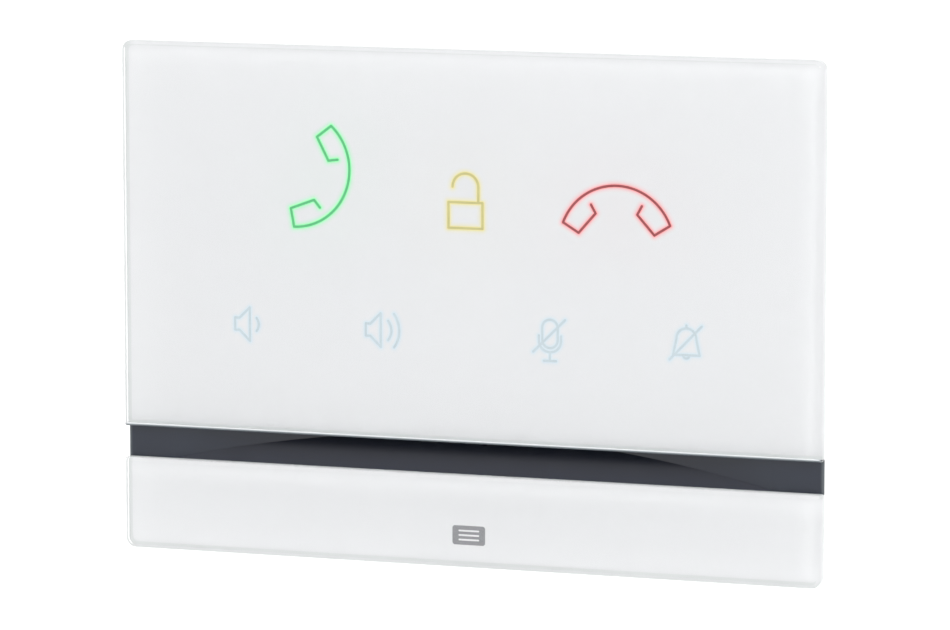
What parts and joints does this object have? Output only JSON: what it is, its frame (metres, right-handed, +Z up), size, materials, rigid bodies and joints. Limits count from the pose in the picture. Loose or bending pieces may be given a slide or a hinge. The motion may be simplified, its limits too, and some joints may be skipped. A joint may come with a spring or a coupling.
{
  "type": "wall intercom panel",
  "caption": "Wall intercom panel with a white glass front in two plates, lit touch symbols, a dark sound strip, recessed housing, wall plate and pluggable terminals.",
  "frame": {"origin": "centre of the wall plate's screw pattern, on the wall face", "axes": "+X to the right, +Z up, +Y into the wall; the glass front faces -Y"},
  "size_m": [0.17, 0.038, 0.12],
  "materials": {
    "front_glass": "polished",
    "print_white": "even white",
    "symbol_green": "lit",
    "symbol_yellow": "lit",
    "symbol_red": "lit",
    "symbol_blue": "lit",
    "badge_grey": "satin print",
    "strip_dark": "gloss",
    "tape": "foam tape",
    "clear_film": "clear film",
    "diffuser": "opal",
    "black_plastic": "fine texture",
    "board_green": "solder mask",
    "led_white": "gloss",
    "zinc": "zinc plated",
    "white_abs": "fine texture",
    "foam": "foam",
    "black_steel": "satin",
    "black_rubber": "matt",
    "cone_paper": "paper",
    "copper": "enamelled wire",
    "wire_red": "PVC",
    "aluminium": "satin",
    "chip_black": "moulded",
    "pad_blue": "soft",
    "tape_yellow": "taped",
    "capacitor_sleeve": "sleeve",
    "ferrite": "ferrite",
    "ribbon_white": "film",
    "connector_ivory": "moulded",
    "jack_steel": "tinned",
    "gold": "gold plated",
    "terminal_green": "moulded",
    "tin": "tinned",
    "grey_abs": "fine texture",
    "label_paper": "label film",
    "plate_steel": "powder coat",
    "spring_steel": "spring steel"
  },
  "bodies": {
    "wall_plate": {"mounting_frame": "plate_steel", "retaining_springs": "spring_steel"},
    "unit": {"upper_glass": "front_glass", "lower_glass": "front_glass", "upper_print": "print_white", "lower_print": "print_white", "symbol_answer": "symbol_green", "symbol_unlock": "symbol_yellow", "symbol_hang_up": "symbol_red", "symbol_volume_down": "symbol_blue", "symbol_volume_up": "symbol_blue", "symbol_mic_off": "symbol_blue", "symbol_bell_off": "symbol_blue", "badge": "badge_grey", "acoustic_strip": "strip_dark", "upper_tape": "tape", "lower_tape": "tape", "touch_sensor": "clear_film", "light_diffuser": "diffuser", "light_shroud": "black_plastic", "touch_board": "board_green", "key_leds": "led_white", "touch_board_screws": "zinc", "front_carrier": "white_abs", "speaker_duct": "black_plastic", "speaker_gasket": "foam", "speaker_frame": "black_steel", "speaker_magnet": "zinc", "speaker_surround": "black_rubber", "speaker_screws": "zinc", "speaker_wires": "wire_red", "microphone": "aluminium", "microphone_boot": "black_rubber", "main_board": "board_green", "processor": "chip_black", "thermal_pad": "pad_blue", "heat_spreader": "aluminium", "memory_chips": "chip_black", "power_transformer": "tape_yellow", "line_transformer": "chip_black", "capacitors": "capacitor_sleeve", "inductor": "ferrite", "ribbon_cable": "ribbon_white", "ribbon_connectors": "connector_ivory", "network_jack": "jack_steel", "network_contacts": "gold", "terminal_header": "terminal_green", "terminal_pins": "tin", "reset_switch": "black_plastic", "rear_housing": "grey_abs", "housing_screws": "zinc", "board_screws": "zinc", "rating_label": "label_paper"},
    "speaker_cone": {"speaker_cone": "cone_paper", "voice_coil": "copper", "dust_cap": "cone_paper"},
    "reset_plunger": {"reset_plunger": "white_abs"},
    "terminal_plug": {"terminal_plug": "terminal_green", "terminal_screws": "zinc"}
  },
  "joints": [
    {"name": "unit_pull", "type": "slide", "parent": "wall_plate", "child": "unit", "axis": [0, -1, 0], "range_m": [0, 0.045]},
    {"name": "cone_travel", "type": "slide", "parent": "unit", "child": "speaker_cone", "axis": [0, -1, 0], "range_m": [-0.0004, 0.0004], "stiffness_N_per_m": 1500},
    {"name": "reset_press", "type": "slide", "parent": "unit", "child": "reset_plunger", "axis": [0, -1, 0], "range_m": [0, 0.00025], "stiffness_N_per_m": 4000, "springref_m": -0.0002},
    {"name": "plug_pull", "type": "slide", "parent": "unit", "child": "terminal_plug", "axis": [0, 1, 0], "range_m": [0, 0.008]}
  ]
}
